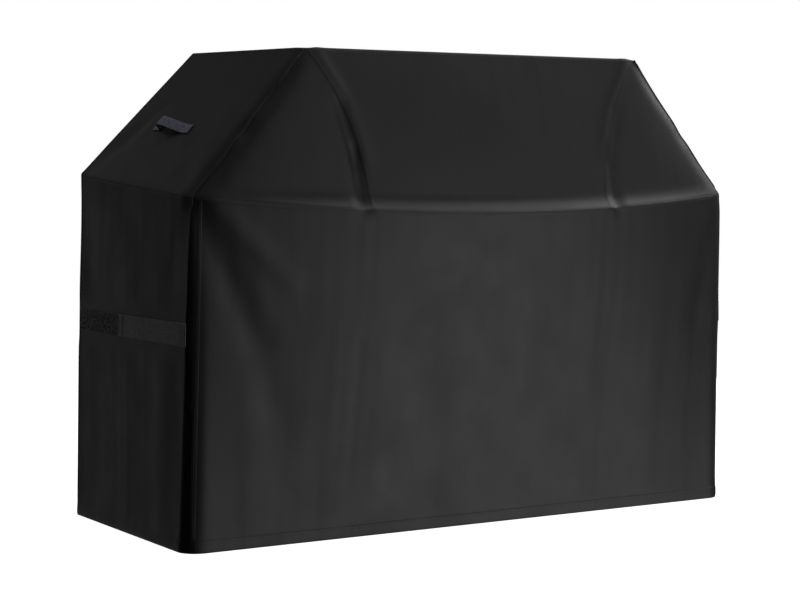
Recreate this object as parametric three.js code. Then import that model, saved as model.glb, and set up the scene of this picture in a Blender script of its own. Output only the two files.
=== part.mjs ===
// Fitted fabric cover for a gas grill: a skirt whose front is pushed out by the shelf under it, a
// sloping hood, hems, seam tapes, two webbing handles and two hook-and-loop side straps.
// Millimetres, +Z up, front towards -Y. The hem stands on z = 0.
import * as THREE from "three";

// Skirt
const LENGTH = 1473; // hem, left to right
const HEM_DEPTH = 598; // hem, front to back
const SIDE_LEAN = 15; // each side leans in this far from the hem to the shoulder
const FRONT_LEAN = 2; // and the front corners and the back by these
const BACK_LEAN = 4;
const FRONT_CORNER_RADIUS = 45; // at the hem
const FRONT_CORNER_HEIGHT = 760; // shoulder height at the two front corners
const BACK_SHOULDER_HEIGHT = 805;
const HEM_HEIGHT = 28;

// Front ridge, the shoulder seam where the shelf edge pushes the cloth out
const BULGE = 98; // how far the middle of the ridge stands out from its corners
const BULGE_FULLNESS = 0.7; // below 1 the bulge fills up quickly next to the corners
const RIDGE_DROP = 38; // the middle of the ridge is this much lower than its corners
const LIP = 20; // the cloth above the ridge flares out by this much
const LIP_SHARE = 0.1; // over this share of the hood's height

// Hood
const TOP_LENGTH = 903;
const TOP_FRONT_HEIGHT = 1077;
const TOP_BACK_HEIGHT = 1091;
const TOP_BACK_INSET = 50; // the top's back edge is this far in from the hem's
const CREASE_HALF_SPAN = 325; // half the distance between the two creases, at the ridge
const CREASE_SWEEP = 2.25; // the creases leave the ridge upright, and lean out towards the top
const HOOD_CROWN = 10; // the panel between the creases swells by this much
const CORNER_SPREAD = 0.55; // the front corner's rounding widens up the slope's edge

// Cloth and trims
const CLOTH = 1.2;
const HEM_CLOTH = 2.6;
const TAPE = 0.8;
const TAPE_GAP = 0.7; // between a panel and the tape behind it
const TAPE_WIDTH = 10; // on each side of a seam
const CREASE_TAPE_WIDTH = 10; // on each side of a crease, at its foot
const CREASE_TAPE_ROWS = 8; // rows of the hood that it spans: higher up the gusset narrows to a point
const SLOPE_TAPE_STEPS = 3; // corner facets that the tape behind the slope's front edge covers
const SEAM_INSET = 0.2; // each panel stops this far short of the seam line
const GAP = 0.3;

// Handles, one on each sloping side of the hood
const HANDLE_WIDTH = 25;
const WEBBING = 1.6;
const HANDLE_UP_SLOPE = 0.41; // share of the slope's length, measured from the shoulder
const HANDLE_CENTRE_Y = 19; // middle of the handle, in the hem's own frame
const HANDLE_PAD = 0.5; // under the sewn ends
// Underside of the webbing, from its front end to its back end: along the panel, and off the panel
const HANDLE_FRONT = [[-89, 0], [-61, 0], [-46, 4], [-19, 12]];
const HANDLE_GRIP = [[-18.6, 12.1], [4, 19], [24, 23.5], [33, 23.5], [42, 19], [47.6, 12.1]];
const HANDLE_BACK = [[48, 12], [54, 3], [61, 0], [89, 0]];

// Side straps
const STRAP_WIDTH = 50;
const STRAP = 1.5;
const STRAP_HEIGHT = 465; // height of the strap's middle
const STRAP_PAD = 0.5; // under whatever lies on the cloth
const STRAP_FRONT_Y = -285;
const SEWN_STRAP_END_Y = -255;
const STRAP_BACK_Y = 60; // free end of the hook strap
const STRAP_RAMP = 30; // it climbs onto the loop strip over this length
const LOOP_FRONT_Y = -60;
const LOOP_BACK_Y = 284;
const LOOP = 1.4;

// The outermost row and column of each panel's grid is one tape width from the panel's edge
const SKIRT_TAPE = TAPE_WIDTH / (FRONT_CORNER_HEIGHT - HEM_HEIGHT);
const HOOD_TAPE = TAPE_WIDTH / (TOP_FRONT_HEIGHT - FRONT_CORNER_HEIGHT);
const SIDE_TAPE = TAPE_WIDTH / HEM_DEPTH;
const SKIRT_ROWS = [0, SKIRT_TAPE, 0.2, 0.4, 0.6, 0.8, 0.92, 1 - SKIRT_TAPE, 1]; // shares of hem to shoulder
const HOOD_ROWS = [0, HOOD_TAPE, 0.06, 0.1, 0.25, 0.45, 0.65, 0.83, 1 - HOOD_TAPE, 1]; // of the hood's
const SIDE_COLUMNS = 4;
const GUSSET_COLUMNS = 4;
const HOOD_COLUMNS = 10;
const CORNER_STEPS = 6; // facets in a front corner
const CORNER_SEAM_STEP = 4; // its seam runs after this many of them, counted from the side

// Derived
const HALF_HEM = LENGTH / 2;
const HALF_SHOULDER = HALF_HEM - SIDE_LEAN;
const HALF_TOP = TOP_LENGTH / 2;
const FRONT_Y = -HEM_DEPTH / 2;
const BACK_Y = HEM_DEPTH / 2;
const SHOULDER_FRONT_Y = FRONT_Y + FRONT_LEAN;
const SHOULDER_BACK_Y = BACK_Y - BACK_LEAN;
const TOP_BACK_Y = BACK_Y - TOP_BACK_INSET;
const CREASE_SHARE = CREASE_HALF_SPAN / HALF_SHOULDER;
const CENTRE = new THREE.Vector3(0, 0, TOP_FRONT_HEIGHT / 2);

const at = (x, y, z) => new THREE.Vector3(x, y, z);
const mix = (a, b, t) => a.clone().lerp(b, t);
const steps = (from, to, count) =>
  Array.from({ length: count + 1 }, (_, i) => from + ((to - from) * i) / count);

// ---- The cover's surface. share is x as a share of the half length, -1 left to 1 right ----

function hemPoint(share) {
  const pastArc = Math.max(0, Math.abs(share) * HALF_HEM - (HALF_HEM - FRONT_CORNER_RADIUS));
  const arc = Math.sqrt(Math.max(0, FRONT_CORNER_RADIUS ** 2 - pastArc ** 2));
  return at(share * HALF_HEM, FRONT_Y + FRONT_CORNER_RADIUS - arc, 0);
}

function ridgePoint(share) {
  const inside = Math.max(0, 1 - share ** 2);
  const y = SHOULDER_FRONT_Y - BULGE * inside ** BULGE_FULLNESS;
  return at(share * HALF_SHOULDER, y, FRONT_CORNER_HEIGHT - RIDGE_DROP * inside);
}

const lip = (share) => LIP * Math.max(0, 1 - share ** 2);
const ridgeBase = (share) => ridgePoint(share).add(at(0, lip(share), 0));

function lipAt(share, rise) {
  return at(0, -lip(share) * Math.max(0, 1 - rise / LIP_SHARE) ** 2, 0);
}

// The left crease, from the ridge (rise 0) to the top's corner (rise 1)
function creaseBase(rise) {
  const foot = ridgeBase(-CREASE_SHARE);
  const x = -(CREASE_HALF_SPAN + (HALF_TOP - CREASE_HALF_SPAN) * rise ** CREASE_SWEEP);
  return at(x, 0, 0).add(at(0, foot.y, foot.z).lerp(at(0, FRONT_Y, TOP_FRONT_HEIGHT), rise));
}

const mirror = (p) => at(-p.x, p.y, p.z);
const slopeFoot = (t) =>
  mix(ridgePoint(-1), at(-HALF_SHOULDER, SHOULDER_BACK_Y, BACK_SHOULDER_HEIGHT), t);
const slopeHead = (t) =>
  mix(at(-HALF_TOP, FRONT_Y, TOP_FRONT_HEIGHT), at(-HALF_TOP, TOP_BACK_Y, TOP_BACK_HEIGHT), t);
const slopePoint = (t, rise) => mix(slopeFoot(t), slopeHead(t), rise);

// How far a curved lower edge stands off the straight line between its two ends
function sag(share, across, footLeft, footRight) {
  return ridgeBase(share).sub(mix(footLeft, footRight, across));
}

function gussetPoint(share, rise) {
  const across = (1 + share) / (1 - CREASE_SHARE);
  const spread = across ** (1 - CORNER_SPREAD * rise);
  const pull = sag(share, across, ridgeBase(-1), ridgeBase(-CREASE_SHARE)).multiplyScalar(1 - rise);
  return mix(slopePoint(0, rise), creaseBase(rise), spread).add(pull).add(lipAt(share, rise));
}

function hoodPoint(share, rise) {
  const across = (share / CREASE_SHARE + 1) / 2;
  const crease = creaseBase(rise);
  const feet = [ridgeBase(-CREASE_SHARE), ridgeBase(CREASE_SHARE)];
  const pull = sag(share, across, ...feet).multiplyScalar(1 - rise);
  const crown = HOOD_CROWN * Math.sin(Math.PI * rise) * 4 * across * (1 - across);
  return mix(crease, mirror(crease), across).add(pull).add(lipAt(share, rise)).add(at(0, -crown, 0));
}

// ---- Patches: a patch is a sheet of points and triangles, facing out. Each quadrilateral is cut
// along its shorter diagonal, so that a panel and the tape behind it bend alike ----

const key = (p) => p.toArray().map((v) => Math.round(v * 100)).join();

function patch(rows) {
  const points = [];
  const index = new Map();
  const find = (p) => {
    if (!index.has(key(p))) index.set(key(p), points.push(p) - 1);
    return index.get(key(p));
  };
  const grid = rows.map((row) => row.map(find));
  const faces = [];
  for (let i = 0; i + 1 < grid.length; i++)
    for (let j = 0; j + 1 < grid[i].length; j++) {
      const corners = [grid[i][j], grid[i][j + 1], grid[i + 1][j + 1], grid[i + 1][j]];
      faces.push(...halves(points, ...corners));
    }
  return facingOut({ points, faces: faces.filter(([a, b, c]) => a !== b && b !== c && c !== a) });
}

function faceNormal(points, [a, b, c]) {
  const edge = points[b].clone().sub(points[a]);
  return edge.cross(points[c].clone().sub(points[a]));
}

function facingOut({ points, faces }) {
  const outwards = faces.reduce((sum, face) => {
    return sum + faceNormal(points, face).dot(points[face[0]].clone().sub(CENTRE));
  }, 0);
  const turned = outwards < 0 ? faces.map(([a, b, c]) => [a, c, b]) : faces;
  const normals = points.map(() => at(0, 0, 0));
  for (const face of turned) for (const v of face) normals[v].add(faceNormal(points, face));
  normals.forEach((n) => n.normalize());
  return { points, faces: turned, normals };
}

// The vector whose share along each of the directions is the given length
function meet(directions, length) {
  const sum = at(0, 0, 0);
  const rows = [0, 0, 0].map(() => [0, 0, 0]);
  for (const n of directions) {
    const v = n.toArray();
    sum.add(n);
    rows.forEach((row, i) => row.forEach((_, j) => (row[j] += v[i] * v[j])));
  }
  rows.forEach((row, i) => (row[i] += 0.01));
  const matrix = new THREE.Matrix3().set(...rows.flat()).invert();
  return sum.multiplyScalar(length).applyMatrix3(matrix);
}

// How far a point moves inwards for each millimetre of depth, the same for every panel that meets there
function inwardsOf(patches) {
  const normals = new Map();
  for (const { points, normals: own } of patches)
    points.forEach((p, i) => normals.set(key(p), [...(normals.get(key(p)) ?? []), own[i]]));
  return (p) => meet(normals.get(key(p)), -1);
}

// The edges that only one triangle uses, each with the direction from it into the patch
function rim({ points, faces, normals }) {
  const used = new Map();
  for (const [a, b, c] of faces)
    for (const [from, to] of [[a, b], [b, c], [c, a]]) used.set(from + "," + to, [from, to]);
  return [...used.values()]
    .filter(([from, to]) => !used.has(to + "," + from))
    .map(([from, to]) => {
      const along = points[to].clone().sub(points[from]).normalize();
      return { from, to, into: normals[from].clone().cross(along).normalize() };
    });
}

// A closed sheet of cloth between two depths under a patch
function sheet(source, inwards, outer, inner) {
  const edges = rim(source);
  const shift = source.points.map((_, i) => {
    const into = edges.filter((e) => e.from === i || e.to === i).map((e) => e.into);
    return into.length ? meet(into, SEAM_INSET) : at(0, 0, 0);
  });
  const layer = (depth) =>
    source.points.map((p, i) => p.clone().add(shift[i]).addScaledVector(inwards(p), depth));
  const count = source.points.length;
  const points = [...layer(outer), ...layer(inner)];
  const faces = [
    ...source.faces,
    ...source.faces.map(([a, b, c]) => [a + count, c + count, b + count]),
    ...edges.flatMap(({ from, to }) => halves(points, to, from, from + count, to + count)),
  ];
  return solid(points, faces);
}

// A quadrilateral cut along its shorter diagonal
function halves(points, a, b, c, d) {
  const short = points[a].distanceTo(points[c]) < points[b].distanceTo(points[d]);
  return short ? [[a, b, c], [a, c, d]] : [[a, b, d], [b, c, d]];
}

function solid(points, faces) {
  const geometry = new THREE.BufferGeometry();
  const flat = points.flatMap((p) => p.toArray());
  geometry.setAttribute("position", new THREE.Float32BufferAttribute(flat, 3));
  geometry.setIndex(faces.flat());
  geometry.computeVertexNormals();
  return geometry;
}

// ---- Panels ----

const cornerShares = steps(0, CORNER_STEPS, CORNER_STEPS).map((k) => {
  const turn = (k * Math.PI) / 2 / CORNER_STEPS;
  return -1 + (FRONT_CORNER_RADIUS * (1 - Math.cos(turn))) / HALF_HEM;
});
const creaseTape = CREASE_TAPE_WIDTH / HALF_SHOULDER;
const gussetShares = [
  ...cornerShares.slice(0, -1),
  ...steps(cornerShares[CORNER_STEPS], -CREASE_SHARE, GUSSET_COLUMNS).slice(0, -1),
  -CREASE_SHARE - creaseTape,
  -CREASE_SHARE,
];
const hoodShares = [
  -CREASE_SHARE,
  ...steps(-CREASE_SHARE, CREASE_SHARE, HOOD_COLUMNS).slice(1, -1),
  CREASE_SHARE,
];
hoodShares.splice(1, 0, creaseTape - CREASE_SHARE);
hoodShares.splice(-1, 0, CREASE_SHARE - creaseTape);
const leftHalf = gussetShares.slice(CORNER_SEAM_STEP, -1);
const frontShares = [...leftHalf, ...hoodShares, ...leftHalf.map((s) => -s).reverse()];
const sideShares = [0, SIDE_TAPE, ...steps(0, 1, SIDE_COLUMNS).slice(1, -1), 1 - SIDE_TAPE, 1];

const columns = {
  front: frontShares.map((s) => [hemPoint(s), ridgePoint(s)]),
  side: [
    ...cornerShares.slice(1, CORNER_SEAM_STEP + 1).reverse().map((s) => [hemPoint(s), ridgePoint(s)]),
    ...sideShares.map((t) => [mix(hemPoint(-1), at(-HALF_HEM, BACK_Y, 0), t), slopeFoot(t)]),
  ],
  back: hoodShares.map((s) => {
    const x = s / CREASE_SHARE;
    const head = at(x * HALF_SHOULDER, SHOULDER_BACK_Y, BACK_SHOULDER_HEIGHT);
    return [at(x * HALF_HEM, BACK_Y, 0), head];
  }),
};

const skirtRow = (column, share) =>
  column.map(([foot, head]) => {
    const hem = HEM_HEIGHT / head.z;
    return mix(foot, head, hem + (1 - hem) * share);
  });
const skirtGrid = (column) => SKIRT_ROWS.map((share) => skirtRow(column, share));
const hemGrid = (column) => [column.map(([foot]) => foot.clone().setZ(-SEAM_INSET)), skirtRow(column, 0)];
const acrossCover = (left, share) => mix(mirror(left), left, (1 - share) / 2);
const mirrorGrid = (grid) => grid.map((row) => row.map(mirror));

const topShares = hoodShares.map((s) => s / CREASE_SHARE);
const grids = {
  front_skirt_panel: skirtGrid(columns.front),
  back_skirt_panel: skirtGrid(columns.back),
  left_skirt_panel: skirtGrid(columns.side),
  front_hood_panel: HOOD_ROWS.map((r) => hoodShares.map((s) => hoodPoint(s, r))),
  front_left_gusset: HOOD_ROWS.map((r) => gussetShares.map((s) => gussetPoint(s, r))),
  left_slope_panel: HOOD_ROWS.map((r) => sideShares.map((t) => slopePoint(t, r))),
  back_hood_panel: HOOD_ROWS.map((r) => topShares.map((s) => acrossCover(slopePoint(1, r), s))),
  top_panel: sideShares.map((t) => topShares.map((s) => acrossCover(slopeHead(t), s))),
};
for (const name of ["left_skirt_panel", "front_left_gusset", "left_slope_panel"])
  grids[name.replace("left", "right")] = mirrorGrid(grids[name]);
const hemGrids = {
  front_hem: hemGrid(columns.front),
  back_hem: hemGrid(columns.back),
  left_hem: hemGrid(columns.side),
  right_hem: mirrorGrid(hemGrid(columns.side)),
};
const patches = Object.fromEntries(
  Object.entries({ ...grids, ...hemGrids }).map(([name, grid]) => [name, patch(grid)]),
);
const inwards = inwardsOf(Object.values(patches));

// ---- Seam tapes, on the inside of every seam ----

// The strip of a grid next to one of its edges: a list of stations, each from the inside to the edge
const turned = (grid) => grid[0].map((_, j) => grid.map((row) => row[j]));
const firstColumn = (grid, width = 1) => grid.map((row) => row.slice(0, width + 1).reverse());
const lastColumn = (grid, width = 1) => grid.map((row) => row.slice(-width - 1));
const firstRow = (grid) => firstColumn(turned(grid));
const lastRow = (grid) => lastColumn(turned(grid));

// A tape over two strips that share a seam. It stops one row short of the seam's two ends
function tape(first, second) {
  const rows = first.map((strip, i) => [...strip, ...second[i].slice(0, -1).reverse()]);
  return sheet(patch(rows.slice(1, -1)), inwards, CLOTH + TAPE_GAP, CLOTH + TAPE_GAP + TAPE);
}

function frontShoulderStrip() {
  const gusset = firstRow(grids.front_left_gusset).slice(CORNER_SEAM_STEP, -1);
  const right = gusset.map((strip) => strip.map(mirror)).reverse();
  return [...gusset, ...firstRow(grids.front_hood_panel), ...right];
}

function tapes() {
  const g = grids;
  const made = {
    front_shoulder_tape: tape(lastRow(g.front_skirt_panel), frontShoulderStrip()),
    back_shoulder_tape: tape(lastRow(g.back_skirt_panel), firstRow(g.back_hood_panel)),
    top_front_tape: tape(lastRow(g.front_hood_panel), firstRow(g.top_panel)),
    top_back_tape: tape(lastRow(g.back_hood_panel), lastRow(g.top_panel)),
  };
  for (const side of ["left", "right"]) {
    const isLeft = side === "left";
    const skirt = g[side + "_skirt_panel"];
    const gusset = g[`front_${side}_gusset`];
    const slope = g[side + "_slope_panel"];
    const sideEdge = isLeft ? firstColumn : lastColumn;
    const straight = firstRow(slope).length;
    Object.assign(made, {
      [`front_${side}_corner_tape`]: tape(sideEdge(g.front_skirt_panel), firstColumn(skirt)),
      [`back_${side}_corner_tape`]: tape(sideEdge(g.back_skirt_panel), lastColumn(skirt)),
      [`${side}_shoulder_tape`]: tape(lastRow(skirt).slice(-straight), firstRow(slope)),
      [`front_${side}_slope_tape`]: tape(firstColumn(gusset, SLOPE_TAPE_STEPS), firstColumn(slope)),
      [`back_${side}_slope_tape`]: tape(sideEdge(g.back_hood_panel), lastColumn(slope)),
      [`${side}_crease_tape`]: tape(
        lastColumn(gusset).slice(0, CREASE_TAPE_ROWS),
        sideEdge(g.front_hood_panel).slice(0, CREASE_TAPE_ROWS),
      ),
      [`top_${side}_tape`]: tape(lastRow(slope), sideEdge(g.top_panel)),
    });
  }
  return made;
}

// ---- Handles and straps: ribbons in a frame that lies on the cloth ----

// A ribbon whose underside follows the points (along, off), as wide as given and centred across.
// Its ends are cut square to the cloth
function ribbon(underside, thickness, width) {
  const under = underside.map(([along, off]) => new THREE.Vector2(along, off));
  const upper = under.map((p, i) => {
    if (i === 0 || i === under.length - 1) return new THREE.Vector2(p.x, p.y + thickness);
    const direction = under[i + 1].clone().sub(under[i - 1]).normalize();
    return new THREE.Vector2(p.x - direction.y * thickness, p.y + direction.x * thickness);
  });
  const outline = new THREE.Shape([...under, ...upper.reverse()]);
  const geometry = new THREE.ExtrudeGeometry(outline, { depth: width, bevelEnabled: false, steps: 1 });
  return geometry.translate(0, 0, -width / 2);
}

// A group on the left half of the cover whose x runs backwards, y off the cloth and z up the cloth
function lyingOn(surface, u, v) {
  const here = surface(u, v);
  const back = surface(u + 0.01, v).sub(surface(u - 0.01, v)).normalize();
  const down = surface(u, v - 0.01).sub(surface(u, v + 0.01));
  const off = back.clone().cross(down).normalize();
  const group = new THREE.Group();
  group.applyMatrix4(new THREE.Matrix4().makeBasis(back, off, back.clone().cross(off)));
  group.position.copy(here);
  return group;
}

const lifted = (underside, off) => underside.map(([along, height]) => [along, height + off]);

function handle(side) {
  const middle = (HANDLE_CENTRE_Y - FRONT_Y) / (HEM_DEPTH - TOP_BACK_INSET * HANDLE_UP_SLOPE);
  const group = lyingOn(slopePoint, middle, HANDLE_UP_SLOPE);
  const piece = (name, underside) =>
    mesh(`${side}_handle_${name}`, ribbon(lifted(underside, HANDLE_PAD), WEBBING, HANDLE_WIDTH), webbing());
  group.add(piece("front_end", HANDLE_FRONT));
  group.add(piece("grip", HANDLE_GRIP));
  group.add(piece("back_end", HANDLE_BACK));
  return group;
}

function sidePoint(t, height) {
  const foot = mix(hemPoint(-1), at(-HALF_HEM, BACK_Y, 0), t);
  const head = slopeFoot(t);
  return mix(foot, head, height / head.z);
}

function straps(side) {
  const share = 0.5;
  const group = lyingOn((t, v) => sidePoint(t, v * STRAP_HEIGHT), share, 1);
  const middle = sidePoint(share, STRAP_HEIGHT).y;
  const along = (y) => y - middle;
  const flat = (from, to) => [[along(from), STRAP_PAD], [along(to), STRAP_PAD]];
  const over = STRAP_PAD + LOOP + GAP;
  const hook = [
    [along(SEWN_STRAP_END_Y + GAP), STRAP_PAD],
    [along(LOOP_FRONT_Y - STRAP_RAMP), STRAP_PAD],
    [along(LOOP_FRONT_Y - GAP), over],
    [along(STRAP_BACK_Y), over],
  ];
  const add = (name, underside, thickness, material) =>
    group.add(mesh(`${side}_${name}`, ribbon(underside, thickness, STRAP_WIDTH), material));
  add("loop_strip", flat(LOOP_FRONT_Y, LOOP_BACK_Y), LOOP, loopPile());
  add("hook_strap_sewn_end", flat(STRAP_FRONT_Y, SEWN_STRAP_END_Y), STRAP, hookTape());
  add("hook_strap", hook, STRAP, hookTape());
  return group;
}

// ---- Materials ----

const finish = (color, roughness) => new THREE.MeshStandardMaterial({ color, roughness, metalness: 0 });
const cloth = () => finish(0x17171a, 0.62);
const hemCloth = () => finish(0x151518, 0.66);
const tapeCloth = () => finish(0x101012, 0.7);
const webbing = () => finish(0x4b4960, 0.75);
const hookTape = () => finish(0x242425, 0.8);
const loopPile = () => finish(0x1a1a1b, 0.95);

function mesh(name, geometry, material) {
  const made = new THREE.Mesh(geometry, material);
  made.name = name;
  return made;
}

// ---- The cover ----

const cover = new THREE.Group();
cover.position.y = (BULGE - FRONT_LEAN) / 2; // puts the middle of the whole depth on y = 0

for (const name of Object.keys(grids))
  cover.add(mesh(name, sheet(patches[name], inwards, 0, CLOTH), cloth()));
for (const name of Object.keys(hemGrids))
  cover.add(mesh(name, sheet(patches[name], inwards, 0, HEM_CLOTH), hemCloth()));
for (const [name, geometry] of Object.entries(tapes())) cover.add(mesh(name, geometry, tapeCloth()));
for (const side of ["left", "right"]) {
  const fittings = new THREE.Group();
  if (side === "right") fittings.scale.x = -1;
  fittings.add(handle(side), straps(side));
  cover.add(fittings);
}

export default cover;
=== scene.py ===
"""A fitted fabric cover for a gas grill: cloth panels, hems, seams, webbing handles and side straps,
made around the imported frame. Metres, +Z up, front towards -Y. Left is -X."""

import math
from collections import namedtuple
from functools import lru_cache

import bpy
import numpy as np
from bpy.props import FloatProperty, FloatVectorProperty, PointerProperty
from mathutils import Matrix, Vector, kdtree


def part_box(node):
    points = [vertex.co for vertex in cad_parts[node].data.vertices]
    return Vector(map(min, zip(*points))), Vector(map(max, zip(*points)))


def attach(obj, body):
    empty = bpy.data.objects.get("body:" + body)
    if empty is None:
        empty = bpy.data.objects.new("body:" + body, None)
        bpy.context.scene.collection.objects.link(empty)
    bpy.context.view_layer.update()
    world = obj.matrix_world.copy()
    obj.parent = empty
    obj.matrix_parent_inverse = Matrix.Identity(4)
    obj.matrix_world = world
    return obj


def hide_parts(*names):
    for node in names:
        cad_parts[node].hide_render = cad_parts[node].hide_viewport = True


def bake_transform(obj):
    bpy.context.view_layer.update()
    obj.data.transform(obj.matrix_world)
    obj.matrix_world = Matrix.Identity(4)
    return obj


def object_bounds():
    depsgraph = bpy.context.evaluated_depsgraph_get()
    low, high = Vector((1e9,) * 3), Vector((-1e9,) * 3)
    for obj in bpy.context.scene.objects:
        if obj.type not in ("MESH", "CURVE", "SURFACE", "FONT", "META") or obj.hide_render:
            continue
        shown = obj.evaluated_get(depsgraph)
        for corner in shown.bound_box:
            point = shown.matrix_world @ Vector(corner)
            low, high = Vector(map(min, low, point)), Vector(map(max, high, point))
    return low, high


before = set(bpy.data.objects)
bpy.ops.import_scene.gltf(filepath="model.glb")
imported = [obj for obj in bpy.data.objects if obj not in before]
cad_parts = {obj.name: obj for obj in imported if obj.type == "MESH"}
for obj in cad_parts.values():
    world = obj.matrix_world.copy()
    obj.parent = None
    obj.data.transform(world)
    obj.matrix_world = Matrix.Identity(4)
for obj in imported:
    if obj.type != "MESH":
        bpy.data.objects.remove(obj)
CAD_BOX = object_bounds()

bl_info = {
    "name": "Grill cover",
    "version": (1, 0, 0),
    "blender": (4, 5, 0),
    "location": "View3D > Sidebar > Cover",
    "description": "Makes a sewn grill cover around its packed frame",
    "category": "Object",
}

MM = 0.001
SIDES = ("left", "right")

# The cover's curves. The sizes that go with them are the CoverSizes below
FRONT_LEAN = 2 * MM  # the front corners lean in by this from hem to shoulder
BULGE_FULLNESS = 0.7  # below 1 the shelf's bulge fills up quickly next to the corners
LIP_SHARE = 0.1  # the cloth above the ridge flares over this share of the hood's height
CREASE_SWEEP = 2.25  # the creases leave the ridge upright and lean out towards the top
CORNER_SPREAD = 0.55  # the front corner's rounding widens up the slope's edge

# The cloth's grid
CORNER_STEPS = 12  # facets in a front corner
CORNER_SEAM = 8  # its seam runs after this many of them, counted from the side
SEAM_STEPS = np.array([0, 1.5, 3, 4.5, 6, 8, 10, 13, 17, 22, 29]) * MM  # distances from a seam
COARSE = 8.5 * MM  # spacing elsewhere
SOFTEN_WIDTH = 13 * MM  # seams are rounded this far to each side
SOFTEN_STEPS = 9
SOFTEN_SHARE = 0.6  # of the way to the neighbours' middle in each step

# Sewing
STITCH_PITCH = 4.0 * MM
STITCH_LENGTH = 3.3 * MM
THREAD = 0.6 * MM
RING = ((1, 0), (0, 1), (-1, 0), (0, -1))  # a stitch is a pointed rod with four sides
STITCH_FACES = [
    *((0, 1 + (k + 1) % 4, 1 + k) for k in range(4)),
    *((1 + k, 1 + (k + 1) % 4, 5 + (k + 1) % 4, 5 + k) for k in range(4)),
    *((9, 5 + k, 5 + (k + 1) % 4) for k in range(4)),
]
BAND_STITCH_LIFT = 0.4 * MM
HEM_STITCH_LIFT = 0.75 * MM
HEM_STITCH_INSET = 5 * MM  # below the hem's upper edge
BAND = [  # a felled seam's section: distance from the seam and height over the cloth
    (0.0, 0.05), (0.8, 0.4), (1.7, 0.5), (2.4, 0.3), (3.2, 0.5), (5.6, 0.5),
    (6.5, 0.3), (7.4, 0.45), (8.4, 0.3), (9.4, -0.05),
]
BAND_STITCHES = (2.4 * MM, 6.5 * MM)
TAPE_REACH = 10 * MM  # on each side of the seam
TAPE_DEPTH = 1.6 * MM
TAPE_THICKNESS = 0.6 * MM

# Fittings, in the frame of the cloth they lie on: along the cloth, and off it
HANDLE_UP_SLOPE = 0.41  # share of the slope's length, measured from the shoulder
HANDLE_PATH = np.array([
    (-89, 0.5), (-75, 0.5), (-61, 0.5), (-46, 4.5), (-19, 12.5), (4, 19.5), (24, 24), (33, 24),
    (42, 19.5), (48, 12), (54, 3.5), (61, 0.5), (75, 0.5), (89, 0.5),
]) * MM
HANDLE_HALF_WIDTH = 12.5 * MM
WEBBING = 1.6 * MM
FOLD_BACK = 29 * MM  # the sewn ends are folded back under themselves over this length
STRAP_HALF_WIDTH = 25 * MM
STRAP_THICKNESS = 1.5 * MM
STRAP_PAD = 0.5 * MM
STRAP_RAMP = 30 * MM
LOOP_THICKNESS = 1.4 * MM


# ---- Sizes and colours ----


def srgb(hexed):
    """Linear colour of an sRGB hex value"""
    parts = [int(hexed[i : i + 2], 16) / 255 for i in (1, 3, 5)]
    return tuple(c / 12.92 if c <= 0.04045 else ((c + 0.055) / 1.055) ** 2.4 for c in parts)


def low(node, axis):
    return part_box(node)[0][axis]


def high(node, axis):
    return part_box(node)[1][axis]


def size(name, description, default):
    return FloatProperty(
        name=name, description=description, default=default, min=0.0001 if default > 0 else -5,
        precision=4, subtype="DISTANCE", unit="LENGTH",
    )


def colour(name, description, hexed):
    return FloatVectorProperty(
        name=name, description=description, default=srgb(hexed), min=0, max=1, subtype="COLOR"
    )


class CoverSizes(bpy.types.PropertyGroup):
    """Sizes of the cloth, from the frame where it states them"""

    half_hem: size("Half length", "Half of the hem, left to right", CAD_BOX[1].x)
    half_shoulder: size("Half shoulder", "Half of the length at the shoulder", -low("left_slope_panel", 0))
    half_top: size("Half top", "Half of the top's length", high("top_panel", 0))
    front_y: size("Front", "Where the hem's front runs", low("top_panel", 1))
    ridge_y: size("Ridge", "Where the middle of the front ridge stands", CAD_BOX[0].y)
    back_y: size("Back", "Where the hem's back runs", CAD_BOX[1].y)
    shoulder_back_y: size("Back shoulder", "Where the back shoulder runs", high("back_hood_panel", 1))
    top_back_y: size("Top's back", "Where the top's back edge runs", high("top_panel", 1))
    corner_height: size("Front shoulder height", "At the two front corners", high("front_skirt_panel", 2))
    back_height: size("Back shoulder height", "At the back corners", high("back_skirt_panel", 2))
    top_front_height: size("Top front height", "The top's front edge", high("front_hood_panel", 2))
    top_back_height: size("Top back height", "The top's back edge", CAD_BOX[1].z)
    hem_height: size("Hem height", "Depth of the folded hem", high("front_hem", 2))
    corner_radius: size("Corner radius", "Rounding of the two front corners", 45 * MM)
    ridge_drop: size("Ridge drop", "The ridge's middle is this much lower than its ends", 38 * MM)
    lip: size("Lip", "The cloth above the ridge flares out by this", 20 * MM)
    crease_half_span: size("Half crease span", "Half the distance between the creases", 325 * MM)
    hood_crown: size("Hood crown", "The panel between the creases swells by this", 10 * MM)
    cloth: size("Cloth", "Thickness of the coated cloth", 0.9 * MM)
    hem_cloth: size("Hem cloth", "Thickness of the folded hem", 2.2 * MM)


class CoverColours(bpy.types.PropertyGroup):
    """Colours of the cloth and the trims"""

    cloth: colour("Cloth", "Coated outer face", "#1c1c1e")
    lining: colour("Lining", "Coated inner face", "#2b2b2d")
    hem: colour("Hem", "Folded hem", "#1b1b1d")
    tape: colour("Seam tape", "Woven tape inside the seams", "#19191b")
    thread: colour("Thread", "Sewing thread", "#29292c")
    webbing: colour("Webbing", "Handle webbing", "#6c6b80")
    hook: colour("Hook tape", "Strap with hooks on its inner face", "#707072")
    loop: colour("Loop pile", "Brushed strip that the hooks grip", "#606061")
    floor: colour("Floor", "Plain studio floor", "#f7f7f7")


Sizes = namedtuple("Sizes", CoverSizes.__annotations__)


def sizes_of(context):
    return Sizes(*(getattr(context.scene.cover_sizes, name) for name in Sizes._fields))


# ---- The cover's surface ----


def vec(x, y, z):
    return np.stack(np.broadcast_arrays(*(np.asarray(v, float) for v in (x, y, z))), -1)


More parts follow.
